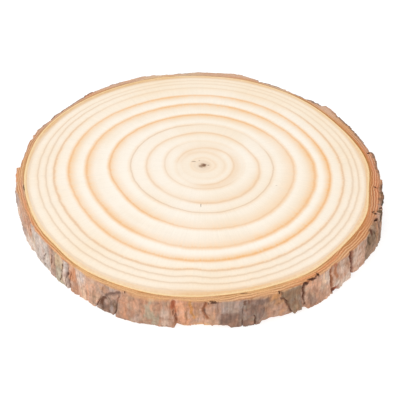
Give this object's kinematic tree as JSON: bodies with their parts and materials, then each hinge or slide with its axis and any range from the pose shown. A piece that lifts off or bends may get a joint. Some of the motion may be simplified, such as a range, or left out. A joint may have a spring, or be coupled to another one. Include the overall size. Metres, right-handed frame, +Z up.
{
  "type": "wood slice",
  "caption": "Round slice sawn across a log: flat pale wood with growth rings and a pith, in its own rough scaly bark.",
  "frame": {"origin": "middle of the box round the slice, on its lower sawn face", "axes": "+Z up, square to both sawn faces; +X to the right and +Y to the back as the picture shows the slice"},
  "size_m": [0.2472, 0.2484, 0.022],
  "materials": {
    "sawn_wood": "sanded, matt, unfinished",
    "bark": "rough, dry, scaly"
  },
  "bodies": {
    "root": {"wood_slice": "sawn_wood"}
  },
  "joints": []
}
